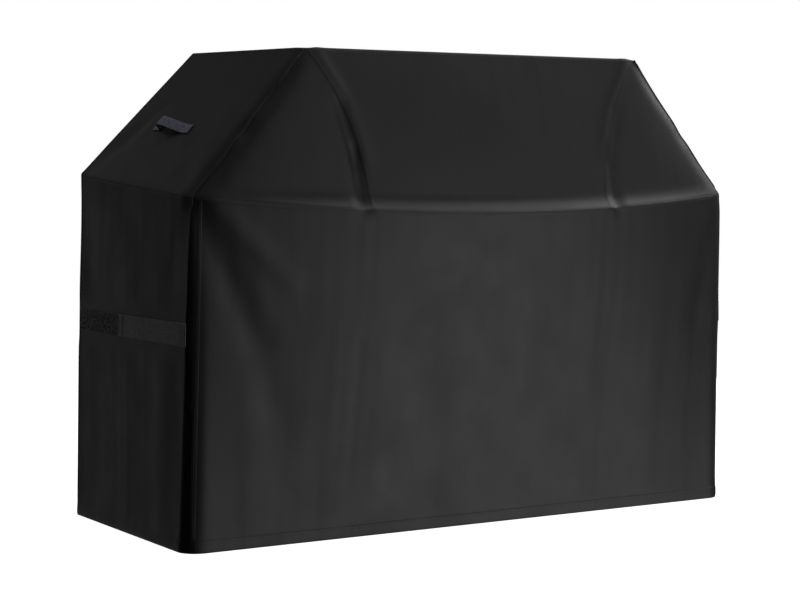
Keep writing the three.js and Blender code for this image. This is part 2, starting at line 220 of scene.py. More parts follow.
def lerp(a, b, t):
    t = np.asarray(t, float)[..., None]
    return a * (1 - t) + b * t


def unit(v):
    return v / np.maximum(np.linalg.norm(v, axis=-1, keepdims=True), 1e-12)


def smooth(t):
    t = np.clip(t, 0, 1)
    return t * t * (3 - 2 * t)


def distances_along(path):
    """How far each point of a path is from its start"""
    return np.concatenate([[0], np.cumsum(np.linalg.norm(np.diff(path, axis=0), axis=1))])


class CoverShape:
    """The seam-to-seam shape. share is x as a share of the half length, -1 left to 1 right; t runs
    from front to back; rise is 0 at the shoulder and 1 at the top. Side pieces are the left ones"""

    def __init__(self, sizes):
        self.s = sizes
        self.crease_share = sizes.crease_half_span / sizes.half_shoulder
        self.top_front = vec(-sizes.half_top, sizes.front_y, sizes.top_front_height)
        self.top_back = vec(-sizes.half_top, sizes.top_back_y, sizes.top_back_height)
        self.back_shoulder = vec(-sizes.half_shoulder, sizes.shoulder_back_y, sizes.back_height)

    def hem(self, share):
        s = self.s
        x = share * s.half_hem
        past = np.maximum(0, np.abs(x) - (s.half_hem - s.corner_radius))
        arc = np.sqrt(np.maximum(0, s.corner_radius**2 - past**2))
        return vec(x, s.front_y + s.corner_radius - arc, 0)

    def ridge(self, share):
        s = self.s
        share = np.asarray(share, float)
        inside = np.maximum(0, 1 - share**2)
        corner_y = s.front_y + FRONT_LEAN
        y = corner_y + (s.ridge_y - corner_y) * inside**BULGE_FULLNESS
        return vec(share * s.half_shoulder, y, s.corner_height - s.ridge_drop * inside)

    def lip(self, share):
        return self.s.lip * np.maximum(0, 1 - np.asarray(share, float) ** 2)

    def ridge_base(self, share):
        return self.ridge(share) + vec(0, self.lip(share), 0)

    def lip_at(self, share, rise):
        return vec(0, -self.lip(share) * np.maximum(0, 1 - rise / LIP_SHARE) ** 2, 0)

    def crease(self, rise):
        s = self.s
        foot = self.ridge_base(-self.crease_share)
        x = -(s.crease_half_span + (s.half_top - s.crease_half_span) * rise**CREASE_SWEEP)
        y = foot[1] + (s.front_y - foot[1]) * rise
        return vec(x, y, foot[2] + (s.top_front_height - foot[2]) * rise)

    def slope(self, t, rise):
        foot = lerp(self.ridge(-1), self.back_shoulder, t)
        return lerp(foot, lerp(self.top_front, self.top_back, t), rise)

    def side(self, t, height):
        foot = lerp(self.hem(-1), vec(-self.s.half_hem, self.s.back_y, 0), t)
        head = lerp(self.ridge(-1), self.back_shoulder, t)
        return lerp(foot, head, height / head[..., 2])

    def sag(self, share, across, left, right):
        return self.ridge_base(share) - lerp(self.ridge_base(left), self.ridge_base(right), across)

    def gusset(self, share, rise):
        across = (1 + share) / (1 - self.crease_share)
        spread = across ** (1 - CORNER_SPREAD * rise)
        pull = self.sag(share, across, -1, -self.crease_share) * (1 - rise)[..., None]
        return lerp(self.slope(0 * rise, rise), self.crease(rise), spread) + pull + self.lip_at(share, rise)

    def hood(self, share, rise):
        across = (share / self.crease_share + 1) / 2
        crease = self.crease(rise)
        pull = self.sag(share, across, -self.crease_share, self.crease_share) * (1 - rise)[..., None]
        crown = self.s.hood_crown * np.sin(np.pi * rise) * 4 * across * (1 - across)
        made = lerp(crease, crease * (-1, 1, 1), across) + pull + self.lip_at(share, rise)
        return made - vec(0, crown, 0)


def ticks(length, near_start=True, near_end=True):
    """Shares from 0 to 1 of a length, close together next to its seams"""
    start = SEAM_STEPS if near_start else SEAM_STEPS[:1]
    end = SEAM_STEPS if near_end else SEAM_STEPS[:1]
    count = max(1, round((length - start[-1] - end[-1]) / COARSE))
    middle = np.linspace(start[-1], length - end[-1], count + 1)
    return np.concatenate([start[:-1], middle, (length - end[:-1])[::-1]]) / length


HEM_TICKS = np.array([0, 1, 3, 6, 10, 15, 20, 24, 27]) / 28  # up the hem
HEM_ROWS = len(HEM_TICKS)


def raw_grids(sizes):
    """Each panel's grid of points, rows upwards"""
    shape = CoverShape(sizes)
    turn = np.arange(CORNER_STEPS + 1) * np.pi / 2 / CORNER_STEPS
    corner = -1 + sizes.corner_radius * (1 - np.cos(turn)) / sizes.half_hem
    gusset_length = (-shape.crease_share - corner[-1]) * sizes.half_shoulder
    gusset_ticks = ticks(gusset_length, near_start=False)
    gusset = np.concatenate([corner[:-1], corner[-1] + gusset_ticks * (-shape.crease_share - corner[-1])])
    hood = shape.crease_share * (2 * ticks(2 * sizes.crease_half_span) - 1)
    left = gusset[CORNER_SEAM:-1]
    front = np.concatenate([left, hood, -left[::-1]])
    t = ticks(sizes.back_y - sizes.front_y)
    across = hood / shape.crease_share
    rise = ticks(sizes.top_front_height - sizes.corner_height)[:, None]
    skirt = ticks(sizes.corner_height - sizes.hem_height)

    def skirt_grid(feet, heads):
        hem = sizes.hem_height / heads[:, 2]
        shares = np.vstack([HEM_TICKS[:, None] * hem, hem + (1 - hem) * skirt[:, None]])
        return lerp(feet, heads, shares)

    def over(left_points):
        return lerp(left_points[..., None, :], (left_points * (-1, 1, 1))[..., None, :], (1 + across) / 2)

    arc = corner[1 : CORNER_SEAM + 1][::-1]
    side_feet = lerp(shape.hem(-1), vec(-sizes.half_hem, sizes.back_y, 0), t)
    grids = {
        "front_skirt": skirt_grid(shape.hem(front), shape.ridge(front)),
        "left_skirt": skirt_grid(
            np.vstack([shape.hem(arc), side_feet]), np.vstack([shape.ridge(arc), shape.slope(t, 0 * t)])
        ),
        "back_skirt": skirt_grid(
            vec(across * sizes.half_hem, sizes.back_y, 0),
            vec(across * sizes.half_shoulder, sizes.shoulder_back_y, sizes.back_height),
        ),
        "front_hood": shape.hood(hood[None], rise),
        "front_left_gusset": shape.gusset(gusset[None], rise + 0 * gusset),
        "left_slope": shape.slope(t + 0 * rise, rise + 0 * t),
        "back_hood": over(shape.slope(1 + 0 * rise[:, 0], rise[:, 0])),
        "top": over(shape.slope(t, 1 + 0 * t)),
    }
    for name in ("left_skirt", "front_left_gusset", "left_slope"):
        grids[name.replace("left", "right")] = grids[name] * (-1, 1, 1)
    return grids


def grid_faces(grid):
    """The quadrilaterals of a grid of vertex numbers, and triangles where two corners meet"""
    corners = np.stack([grid[:-1, :-1], grid[:-1, 1:], grid[1:, 1:], grid[1:, :-1]], -1)
    faces = [tuple(dict.fromkeys(f)) for f in corners.reshape(-1, 4).tolist()]
    return [f for f in faces if len(f) > 2]


def face_corners(faces):
    """Faces as an array of four vertex numbers, with a triangle's last one repeated"""
    return np.array([f if len(f) == 4 else (*f, f[-1]) for f in faces])


def face_areas(points, faces):
    """Area vectors of the faces"""
    a, b, c, d = (points[i] for i in face_corners(faces).T)
    return np.cross(c - a, d - b) / 2


def normals_of(points, faces):
    corners = face_corners(faces)
    area = face_areas(points, faces)
    made = np.zeros_like(points)
    for k in range(4):
        np.add.at(made, corners[:, k], area)
    return unit(made)


def edge(grid, side):
    """One row of vertex numbers for each station along an edge, from the edge inwards"""
    return {"left": grid, "right": grid[:, ::-1], "bottom": grid.T, "top": grid[::-1].T}[side]


def seams_of(grids):
    """Each seam's two strips. The felled band lies on the first one"""
    hood = grids["front_hood"]
    gussets = [edge(grids[f"front_{side}_gusset"], "bottom")[CORNER_SEAM:-1] for side in SIDES]
    above = np.vstack([gussets[0], edge(hood, "bottom"), gussets[1][::-1]])
    seams = {
        "front_shoulder": (edge(grids["front_skirt"], "top"), above),
        "back_shoulder": (edge(grids["back_skirt"], "top"), edge(grids["back_hood"], "bottom")),
        "top_front": (edge(hood, "top"), edge(grids["top"], "bottom")),
        "top_back": (edge(grids["back_hood"], "top"), edge(grids["top"], "top")),
    }
    for side in SIDES:
        skirt, slope = grids[side + "_skirt"], grids[side + "_slope"]
        gusset = grids[f"front_{side}_gusset"]
        arc = edge(gusset, "bottom")[1 : CORNER_SEAM + 1][::-1]
        seams[f"front_{side}_corner"] = (
            edge(skirt, "left")[HEM_ROWS:], edge(grids["front_skirt"], side)[HEM_ROWS:]
        )
        seams[f"back_{side}_corner"] = (
            edge(skirt, "right")[HEM_ROWS:], edge(grids["back_skirt"], side)[HEM_ROWS:]
        )
        seams[f"{side}_shoulder"] = (edge(skirt, "top"), np.vstack([arc, edge(slope, "bottom")]))
        seams[f"front_{side}_slope"] = (edge(slope, "left"), edge(gusset, "left"))
        seams[f"back_{side}_slope"] = (edge(slope, "right"), edge(grids["back_hood"], side))
        seams[f"{side}_crease"] = (edge(hood, side), edge(gusset, "right"))
        seams[f"top_{side}"] = (edge(slope, "top"), edge(grids["top"], side))
    return seams


# ---- Folds in the cloth ----

# Soft folds along straight lines: surface, start and end (share or t, and rise or height share),
# half width and height in millimetres. A negative height is a valley
FOLDS = [
    ("front", (-0.985, 0.97), (-0.80, 0.60), 34, -6.0),
    ("front", (-0.95, 0.99), (-0.70, 0.78), 26, 3.0),
    ("front", (-0.80, 0.60), (-0.72, 0.30), 45, -3.5),
    ("front", (0.97, 0.96), (0.86, 0.60), 30, -3.0),
    ("gusset", (-1.0, 0.0), (-1.0, 0.45), 26, -9.0),
    ("gusset", (-1.0, 0.45), (-1.0, 0.99), 22, -8.0),
    ("gusset", (-0.478, 0.0), (-0.478, 0.35), 17, -9.0),
    ("gusset", (-0.478, 0.30), (-0.485, 0.65), 15, -5.0),
    ("hood", (-0.425, 0.35), (-0.425, 0.62), 15, 4.0),
    ("hood", (-0.425, 0.62), (-0.425, 0.97), 15, 4.0),
    ("hood", (0.425, 0.35), (0.425, 0.62), 15, 4.0),
    ("hood", (0.425, 0.62), (0.425, 0.97), 15, 4.0),
    ("slope", (0.10, 0.08), (0.34, 0.35), 30, -2.0),
    ("slope", (0.95, 0.05), (0.80, 0.50), 34, -3.0),
    ("side", (0.03, 0.97), (0.20, 0.62), 40, -2.0),
    ("side", (0.97, 0.97), (0.82, 0.55), 44, -3.5),
]
BOTH_SIDES = ("gusset", "slope", "side")
# Slow swells and faint streaks of the hanging cloth: wavelength along the wall in millimetres, phase,
# height in millimetres
SWELLS = [(410, 0.4, 1.3), (263, 2.1, 0.9), (171, 4.0, 0.5), (97, 1.2, 0.25)]
STREAKS = [(53, 0.3, 0.10), (37, 1.9, 0.06)]
TOP_SAG = 3 * MM
FLAT_NEAR, FLAT_FADE = 30 * MM, 45 * MM  # the cloth stays flat this near a fitting, and folds return after


def fold_lines(sizes):
    """Each fold as its two ends, half width and height in metres, on both sides where it is on a side"""
    shape = CoverShape(sizes)
    surfaces = {
        "front": lambda u, v: lerp(shape.hem(u), shape.ridge(u), v),
        "gusset": shape.gusset,
        "hood": shape.hood,
        "slope": shape.slope,
        "side": lambda u, v: shape.side(u, v * sizes.corner_height),
    }
    lines = []
    for name, start, end, width, height in FOLDS:
        ends = [surfaces[name](np.array(u), np.array(v)) for u, v in (start, end)]
        lines.append((*ends, width * MM, height * MM))
        if name in BOTH_SIDES:
            lines.append((*(p * (-1, 1, 1) for p in ends), width * MM, height * MM * 0.8))
    return lines


def along_line(points, start, end):
    """How far along a line each point lies, as a share, and its distance from the line"""
    line = end - start
    share = np.clip((points - start) @ line / (line @ line), 0, 1)
    return share, np.linalg.norm(points - start - share[:, None] * line, axis=1)


def fittings_quiet(points, sizes):
    """0 under the handles and straps, where the cloth stays flat, and 1 away from them"""
    quiet = np.ones(len(points))
    for flip in (1, -1):
        for centre, along, half in fitting_lines(sizes):
            ends = [(centre + k * along * half) * (flip, 1, 1) for k in (-1, 1)]
            _, far = along_line(points, *ends)
            quiet *= smooth((far - FLAT_NEAR) / FLAT_FADE)
    return quiet


def folds(points, normals, sizes):
    """How far each point of the cloth stands out or in, in metres"""
    made = np.zeros(len(points))
    for start, end, width, height in fold_lines(sizes):
        share, far = along_line(points, start, end)
        made += height * np.exp(-((far / width) ** 2)) * (0.55 + 0.45 * np.sin(np.pi * share))
    x, y, z = points.T
    wall = smooth((0.5 - np.abs(normals[:, 2])) / 0.3)
    hang = smooth((sizes.corner_height - z) / (500 * MM)) * smooth((z - 2 * MM) / (60 * MM))
    across = np.where(np.abs(normals[:, 0]) > np.abs(normals[:, 1]), y + 0.9, x)
    for wave, phase, height in SWELLS:
        made += hang * wall * height * MM * np.sin(2 * np.pi * across / (wave * MM) + phase + 0.8 * z)
    for wave, phase, height in STREAKS:
        drift = 1.6 * np.sin(7 * z + phase) + 2.2 * np.sin(19 * across + phase)
        made += wall * height * MM * np.sin(2 * np.pi * across / (wave * MM) + drift)
    top = smooth((normals[:, 2] - 0.6) / 0.3)
    between_edges = np.cos(np.clip((y - 0.02) / 0.28, -1, 1) * np.pi / 2)
    made -= top * TOP_SAG * (1 - (x / sizes.half_top) ** 2) * between_edges
    return made * fittings_quiet(points, sizes)


def soften(points, faces, seam_vertices):
    """Rounds the cloth along its seams"""
    tree = kdtree.KDTree(len(seam_vertices))
    for i, v in enumerate(seam_vertices):
        tree.insert(points[v], i)
    tree.balance()
    far = np.array([tree.find(p)[2] for p in points])
    share = SOFTEN_SHARE * smooth(1 - far / SOFTEN_WIDTH) * smooth((points[:, 2] - 2 * MM) / (20 * MM))
    corners = face_corners(faces)
    pairs = np.vstack([corners[:, [k, (k + 1) % 4]] for k in range(4)])
    pairs = pairs[pairs[:, 0] != pairs[:, 1]]
    for _ in range(SOFTEN_STEPS):
        gap = points[pairs[:, 1]] - points[pairs[:, 0]]
        weight = 1 / np.maximum(np.linalg.norm(gap, axis=1), 0.2 * MM)
        total = np.zeros(len(points))
        pull = np.zeros_like(points)
        for k in (0, 1):
            np.add.at(total, pairs[:, k], weight)
            np.add.at(pull, pairs[:, k], (1 - 2 * k) * weight[:, None] * gap)
        points = points + share[:, None] * pull / np.maximum(total, 1e-9)[:, None]
    return points


Surface = namedtuple("Surface", "points normals grids faces flat")


@lru_cache(maxsize=1)
def surface_of(sizes):
    """The whole cover as one welded surface: points, normals, each panel's grid and faces, flat sizes"""
    raw = raw_grids(sizes)
    stacked = np.vstack([g.reshape(-1, 3) for g in raw.values()])
    _, first, number = np.unique(
        np.round(stacked / 1e-6).astype(np.int64), axis=0, return_index=True, return_inverse=True
    )
    points, number = stacked[first], number.reshape(-1)
    grids, faces, flat, used = {}, {}, {}, 0
    centre = np.array([0, 0, sizes.top_front_height / 2])
    for name, grid in raw.items():
        rows, columns, _ = grid.shape
        grids[name] = number[used : used + rows * columns].reshape(rows, columns)
        used += rows * columns
        made = grid_faces(grids[name])
        area = face_areas(points, made)
        if (area * (points[[f[0] for f in made]] - centre)).sum() < 0:
            made = [f[::-1] for f in made]
        faces[name] = made
        flat[name] = (
            np.linalg.norm(np.diff(grid, axis=1), axis=2).sum(1).max(),
            np.linalg.norm(np.diff(grid, axis=0), axis=2).sum(0).max(),
        )
    every = [f for made in faces.values() for f in made]
    seams = seams_of(grids)
    seam_vertices = np.unique(np.concatenate([strip[:, 0] for strip, _ in seams.values()]))
    points = soften(points, every, seam_vertices)
    normals = normals_of(points, every)
    points = points + normals * folds(points, normals, sizes)[:, None]
    return Surface(points, normals_of(points, every), grids, faces, flat)


# ---- Meshes ----


def shell(faces, outer, inner):
    """A closed body between two layers of the same vertices"""
    count = len(outer)
    edges = dict.fromkeys((a, b) for f in faces for a, b in zip(f, (*f[1:], f[0])))
    rim = [(b, a, a + count, b + count) for a, b in edges if (b, a) not in edges]
    under = [tuple(v + count for v in reversed(f)) for f in faces]
    return np.vstack([outer, inner]), [*faces, *under, *rim]


class Piece:
    """Collects the parts of one mesh, each with its own material"""

    def __init__(self, name):
        self.name = name
        self.points, self.faces, self.grain, self.paint, self.materials = [], [], [], [], []
        self.count = 0

    def add(self, points, faces, grain, *materials):
        """Adds faces with one material, or with one for the outer half and one for the inner half"""
        for material in materials:
            if material not in self.materials:
                self.materials.append(material)
        shown = [self.materials.index(m) for m in materials]
        self.faces += [tuple(v + self.count for v in f) for f in faces]
        layer = len(points) // 2
        self.paint += [shown[-1] if min(f) >= layer else shown[0] for f in faces]
        self.points.append(points)
        self.grain.append(np.broadcast_to(grain, points.shape))
        self.count += len(points)

    def sheet(self, outer, inner, grain, *materials):
        """Adds a closed body between two grids of points. The outer one faces away from the inner"""
        rows, columns, _ = outer.shape
        faces = grid_faces(np.arange(rows * columns).reshape(rows, columns))
        flat = outer.reshape(-1, 3)
        off = flat - inner.reshape(-1, 3)
        area = face_areas(flat, faces)
        if (area * off[[f[0] for f in faces]]).sum() < 0:
            faces = [f[::-1] for f in faces]
        points, closed = shell(faces, flat, inner.reshape(-1, 3))
        self.add(points, closed, np.vstack([grain.reshape(-1, 3)] * 2), *materials)

    def stitches(self, line, normals, height, thread):
        """Adds a row of stitches along a line of points, with a normal for each or one for all"""
        gone = distances_along(line)
        count = int((gone[-1] - STITCH_PITCH) / STITCH_PITCH)
        if count < 1:
            return
        start = (gone[-1] - count * STITCH_PITCH) / 2
        at = start + (np.arange(count) + 0.5) * STITCH_PITCH
        middle = laid(line, gone, at)
        along = unit(laid(line, gone, at + STITCH_LENGTH / 2) - laid(line, gone, at - STITCH_LENGTH / 2))
        off = unit(laid(np.broadcast_to(normals, line.shape), gone, at))
        aside = unit(np.cross(off, along))
        shape = [(-0.5, 0, -0.5), *((k, *p) for k in (-0.28, 0.28) for p in RING), (0.5, 0, -0.5)]
        points = np.stack([
            middle + off * height + along * a * STITCH_LENGTH + (aside * b + off * c) * THREAD / 2
            for a, b, c in shape
        ], 1)
        faces = [tuple(v + i * len(shape) for v in f) for i in range(count) for f in STITCH_FACES]
        self.add(points.reshape(-1, 3), faces, (0, 0, 0), thread)

    def finish(self, slot, sharp=35):
        points = np.vstack(self.points)
        mesh = bpy.data.meshes.new(self.name)
        mesh.from_pydata(points.tolist(), [], self.faces)
        grain = mesh.attributes.new("cloth_mm", "FLOAT_VECTOR", "POINT")
        grain.data.foreach_set("vector", np.vstack(self.grain).astype(np.float32).ravel())
        for material in self.materials:
            mesh.materials.append(material)
        mesh.polygons.foreach_set("material_index", self.paint)
        mesh.polygons.foreach_set("use_smooth", [True] * len(self.faces))
        mesh.set_sharp_from_angle(angle=math.radians(sharp))
        mesh.validate()
        mesh.update()
        made = bpy.data.objects.new(self.name, mesh)
        bpy.context.scene.collection.objects.link(made)
        return made


def laid(values, gone, at):
    """Values along a path, read at other distances"""
    return np.stack([np.interp(at, gone, values[:, k]) for k in range(values.shape[1])], -1)


def across(surface, strip, distances):
    """Points and normals at those distances from a seam, for each station along it"""
    rows = []
    for station in strip:
        path = surface.points[station]
        gone = distances_along(path)
        both = np.hstack([path, surface.normals[station]])
        rows.append(laid(both, gone, distances))
    made = np.array(rows)
    return made[..., :3], unit(made[..., 3:])


def strip_width(surface, strip):
    path = surface.points[strip]
    return np.linalg.norm(np.diff(path, axis=1), axis=2).sum(1)


def grain_of(points, normal):
    """Places along the weave in millimetres: across the panel, and up it"""
    across_axis = np.array([1.0, 0, 0]) if abs(normal[0]) < 0.6 else np.array([0, 1.0, 0])
    along = unit(across_axis - normal * (normal @ across_axis))
    up = np.cross(normal, along)
    return np.stack([points @ along, points @ up, 0 * points[:, 0]], -1) / MM


def rails(points):
    """Distances along a grid's two directions in millimetres, for the weave of a ribbon"""
    return vec(distances_along(points[0])[None], distances_along(points[:, 0])[:, None], 0) / MM


# ---- Materials ----

CLOTH_GLOSS = 0.42  # the coat reflects a little less than a bare plastic



def node(tree, kind, inputs=None, **settings):
    """A shader node with its settings and links. An input's value is a number, a colour or a socket"""
    made = tree.nodes.new("ShaderNode" + kind)
    for name, value in settings.items():
        setattr(made, name, value)
    for name, value in (inputs or {}).items():
        if isinstance(value, bpy.types.NodeSocket):
            tree.links.new(value, made.inputs[name])
        else:
            made.inputs[name].default_value = value
    return made


def material(name, finish, *settings):
    """The material of that name. finish(tree, *settings) lays out its nodes the first time"""
    if name not in bpy.data.materials:
        made = bpy.data.materials.new(name)
        made.use_nodes = True
        made.node_tree.nodes.clear()
        finish(made.node_tree, *settings)
    return bpy.data.materials[name]


def math_node(tree, operation, *values):
    return node(tree, "Math", dict(enumerate(values)), operation=operation).outputs[0]


def weighted(tree, first, share, second, other_share):
    """A weighted sum of two values"""
    parts = [math_node(tree, "MULTIPLY", *pair) for pair in ((first, share), (second, other_share))]
    return math_node(tree, "ADD", *parts)


def weave_height(tree, grain, spacing):
    """Plain weave: threads pass over and under each other at that spacing in millimetres"""
    parts = node(tree, "SeparateXYZ", {0: grain})
    turns = [math_node(tree, "SINE", math_node(tree, "MULTIPLY", parts.outputs[k], math.pi / spacing))
             for k in (0, 1)]
    return math_node(tree, "MULTIPLY", *turns)


def noise(tree, grain, scale, detail=3.0, roughness=0.5):
    """Noise read along the cloth. scale is per millimetre in each direction"""
    place = node(tree, "Mapping", {0: grain, "Scale": scale})
    inputs = {"Vector": place.outputs[0], "Scale": 1.0, "Detail": detail, "Roughness": roughness}
    return node(tree, "TexNoise", inputs).outputs["Fac"]


def shades(tree, factor, colour, dark, light):
    """A colour that varies between two multiples of itself"""
    ends = [tuple(c * k for c in colour) + (1,) for k in (dark, light)]
    return node(tree, "Mix", {0: factor, 6: ends[0], 7: ends[1]}, data_type="RGBA").outputs[2]


def spread(tree, factor, low_value, high_value, start=0.3, end=0.7):
    inputs = {"Value": factor, "From Min": start, "From Max": end, "To Min": low_value, "To Max": high_value}
    return node(tree, "MapRange", inputs).outputs[0]


def bump(tree, height, strength, distance, under=None):
    inputs = {"Height": height, "Strength": strength, "Distance": distance * MM}
    if under is not None:
        inputs["Normal"] = under
    return node(tree, "Bump", inputs).outputs[0]


def surfaced(tree, colour, roughness, normal, **others):
    """The shader and output. Uniform values sit on the shader's own sockets"""
    inputs = {"Base Color": colour, "Roughness": roughness, "Metallic": 0.0}
    if normal is not None:
        inputs["Normal"] = normal
    inputs.update({name.replace("_", " "): value for name, value in others.items()})
    shader = node(tree, "BsdfPrincipled", inputs)
    node(tree, "OutputMaterial", {"Surface": shader.outputs[0]})


def grain_socket(tree):
    return node(tree, "Attribute", attribute_name="cloth_mm").outputs["Vector"]


def coated_polyester(tree, colour):
    """Plain-weave polyester with a thin polyurethane coat, calendered: a satin black whose weave is
    mostly filled in, with slightly thicker yarns showing as faint upright streaks"""
    grain = grain_socket(tree)
    # The real weave is 0.5 mm, too fine to show, so it is drawn at 1.6 mm
    weave = weave_height(tree, grain, 1.6)
    slubs = noise(tree, grain, (0.22, 0.004, 1), 2.0)
    cloud = noise(tree, grain, (0.009, 0.007, 1), 4.0, 0.6)
    pores = noise(tree, grain, (0.9, 0.9, 1), 2.0)
    tint = shades(tree, weighted(tree, slubs, 0.5, cloud, 0.5), colour, 0.72, 1.28)
    rough = spread(tree, cloud, 0.47, 0.56)
    normal = bump(tree, slubs, 0.5, 0.14)
    normal = bump(tree, weave, 0.55, 0.05, normal)
    normal = bump(tree, pores, 0.4, 0.05, normal)
    surfaced(tree, tint, rough, normal, IOR=1.5, Specular_IOR_Level=CLOTH_GLOSS, Sheen_Weight=0.03,
             Sheen_Roughness=0.4)


def polyester_lining(tree, colour):
    """The same cloth from inside, where the coat is thicker and milky: smoother and greyer"""
    grain = grain_socket(tree)
    cloud = noise(tree, grain, (0.012, 0.012, 1), 4.0)
    weave = weave_height(tree, grain, 1.6)
    normal = bump(tree, weave, 0.3, 0.04)
    surfaced(tree, shades(tree, cloud, colour, 0.85, 1.15), spread(tree, cloud, 0.5, 0.6), normal,
             IOR=1.5, Specular_IOR_Level=0.4)


def sewing_thread(tree, colour):
    """Bonded polyester thread, twisted: a fine glint along each stitch"""
    place = node(tree, "TexCoord").outputs["Object"]
    twist = node(tree, "TexNoise", {"Vector": place, "Scale": 900.0, "Detail": 1.0}).outputs["Fac"]
    surfaced(tree, shades(tree, twist, colour, 0.8, 1.25), spread(tree, twist, 0.4, 0.55),
             bump(tree, twist, 0.3, 0.05), IOR=1.55, Specular_IOR_Level=0.5)


def ribbed_weave(tree, colour, across_spacing, along_spacing, roughness, relief, contrast, sheen):
    """Narrow-woven tape or webbing: upright warp cords crossed by fine weft ribs"""
    grain = grain_socket(tree)
    parts = node(tree, "SeparateXYZ", {0: grain})
    turn = math_node(tree, "MULTIPLY", parts.outputs[0], 2 * math.pi / across_spacing)
    cords = math_node(tree, "SINE", turn)
    weave = weave_height(tree, grain, along_spacing)
    fibre = noise(tree, grain, (1.4, 0.25, 1), 3.0)
    wear = noise(tree, grain, (0.14, 0.1, 1), 3.0, 0.7)
    height = weighted(tree, cords, 0.5, weave, 1.0)
    tone = weighted(tree, fibre, 0.45, wear, 0.55)
    normal = bump(tree, fibre, 0.35, 0.12, bump(tree, height, 0.8, relief))
    surfaced(tree, shades(tree, spread(tree, tone, 0, 1, 0.35, 0.65), colour, 1 - contrast, 1 + contrast),
             spread(tree, fibre, roughness - 0.05, roughness + 0.08), normal, IOR=1.54,
             Specular_IOR_Level=spread(tree, tone, 0.4 - 0.4 * contrast, 0.4 + 0.4 * contrast, 0.35, 0.65),
             Sheen_Weight=sheen, Sheen_Roughness=0.45)


def brushed_pile(tree, colour):
    """Brushed nylon loops: light catches loose fibres between dark gaps, a coarse speckle"""
    grain = grain_socket(tree)
    tufts = noise(tree, grain, (0.17, 0.17, 1), 4.0, 0.8)  # tufts of about 2 mm, drawn at 6 mm
    fibres = noise(tree, grain, (1.3, 1.3, 1), 3.0)
    tone = weighted(tree, tufts, 0.7, fibres, 0.3)
    height = weighted(tree, tufts, 1.0, fibres, 0.5)
    # The colour is painted with the speckle: painted highlights on the loose fibres and painted shade in the
    # gaps, 0.02 to 2.6 times the base
    surfaced(tree, shades(tree, spread(tree, tone, 0, 1, 0.43, 0.58), colour, 0.02, 2.6),
             spread(tree, fibres, 0.75, 0.95), bump(tree, height, 0.9, 1.1), IOR=1.53,
             Specular_IOR_Level=spread(tree, tone, 0, 0.95, 0.43, 0.58),
             Sheen_Weight=spread(tree, tone, 0, 1.0, 0.43, 0.58), Sheen_Roughness=0.5)


def cover_materials(context):
    c = context.scene.cover_colours
    return {
        "cloth": material("coated_polyester", coated_polyester, c.cloth),
        "hem": material("coated_polyester_hem", coated_polyester, c.hem),
        "lining": material("polyester_lining", polyester_lining, c.lining),
        "thread": material("bonded_polyester_thread", sewing_thread, c.thread),
        # Tape cords are 0.8 mm and are drawn at 1.6 mm
        "tape": material("woven_polyester_tape", ribbed_weave, c.tape, 3.2, 1.6, 0.7, 0.15, 0.15, 0.02),
        # Webbing cords are 1.6 mm across and its picks 1.2 mm, drawn at 2 mm
        "webbing": material("polyester_webbing", ribbed_weave, c.webbing, 4.2, 2.0, 0.62, 0.35, 0.5, 0.3),
        # The strap's back is woven at 0.6 mm and drawn at 2.2 mm
        "hook": material("woven_nylon_hook_tape", ribbed_weave, c.hook, 3.4, 2.2, 0.6, 0.3, 0.75, 1.0),
        "loop": material("brushed_nylon_loops", brushed_pile, c.loop),
    }


# ---- Panels and hems ----

PANELS = {  # the piece's grid, and the node it stands for
    "front_skirt": "front_skirt_panel", "back_skirt": "back_skirt_panel",
    "left_skirt": "left_skirt_panel", "right_skirt": "right_skirt_panel",
    "front_hood": "front_hood_panel", "back_hood": "back_hood_panel",
    "front_left_gusset": "front_left_gusset", "front_right_gusset": "front_right_gusset",
    "left_slope": "left_slope_panel", "right_slope": "right_slope_panel", "top": "top_panel",
}
HEMMED = ("front", "back", "left", "right")


def panel_faces(surface, name, hem):
    """The faces of a panel, or of its hem, which is the grid's lowest rows"""
    grid = surface.grids[name]
    part = set((grid[: HEM_ROWS + 1] if hem else grid[HEM_ROWS:]).ravel().tolist())
    return [f for f in surface.faces[name] if part.issuperset(f)]


def cloth_body(surface, name, hem, outwards, thickness):
    """A closed sheet over a panel's faces, standing out by one depth and in by another"""
    faces = surface.faces[name]
    if name.endswith("_skirt"):
        faces = panel_faces(surface, name, hem)
    used = sorted({v for f in faces for v in f})
    local = {v: i for i, v in enumerate(used)}
    faces = [tuple(local[v] for v in f) for f in faces]
    points, normals = surface.points[used], surface.normals[used]
    height = outwards(points) if callable(outwards) else outwards
    outer = points + normals * np.reshape(height, (-1, 1))
    closed, every = shell(faces, outer, outer - normals * thickness)
    return closed, every, grain_of(closed, unit(normals.mean(0)))


def make_panel(surface, sizes, name, finishes):
    piece = Piece(name + "_cloth")
    points, faces, grain = cloth_body(surface, name, False, 0, sizes.cloth)
    piece.add(points, faces, grain, finishes["cloth"], finishes["lining"])
    made = piece.finish("cover_cloth")
    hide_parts(PANELS[name])
    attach(made, "root")
    width, length = surface.flat[name]
    body, hem = surface.faces[name], []
    if name.endswith("_skirt"):
        length -= sizes.hem_height
        body, hem = panel_faces(surface, name, False), [name.replace("skirt", "hem_band")]
    return made


def hem_height_profile(points, sizes):
    """The folded hem stands a little proud of the cloth, puckers at its stitches and thins at its foot"""
    x, y, z = points.T
    run = x + 1.3 * y
    pucker = 0.22 * np.sin(2 * np.pi * run / (21 * MM) + 3 * np.sin(11 * run))
    body = smooth(z / (5 * MM)) * smooth((sizes.hem_height + 0.6 * MM - z) / (1.5 * MM))
    groove = -0.35 * np.exp(-(((z - sizes.hem_height + HEM_STITCH_INSET) / (1.8 * MM)) ** 2))
    return MM * (-0.5 + body * (1.3 + pucker * smooth(z / (20 * MM)) + groove))


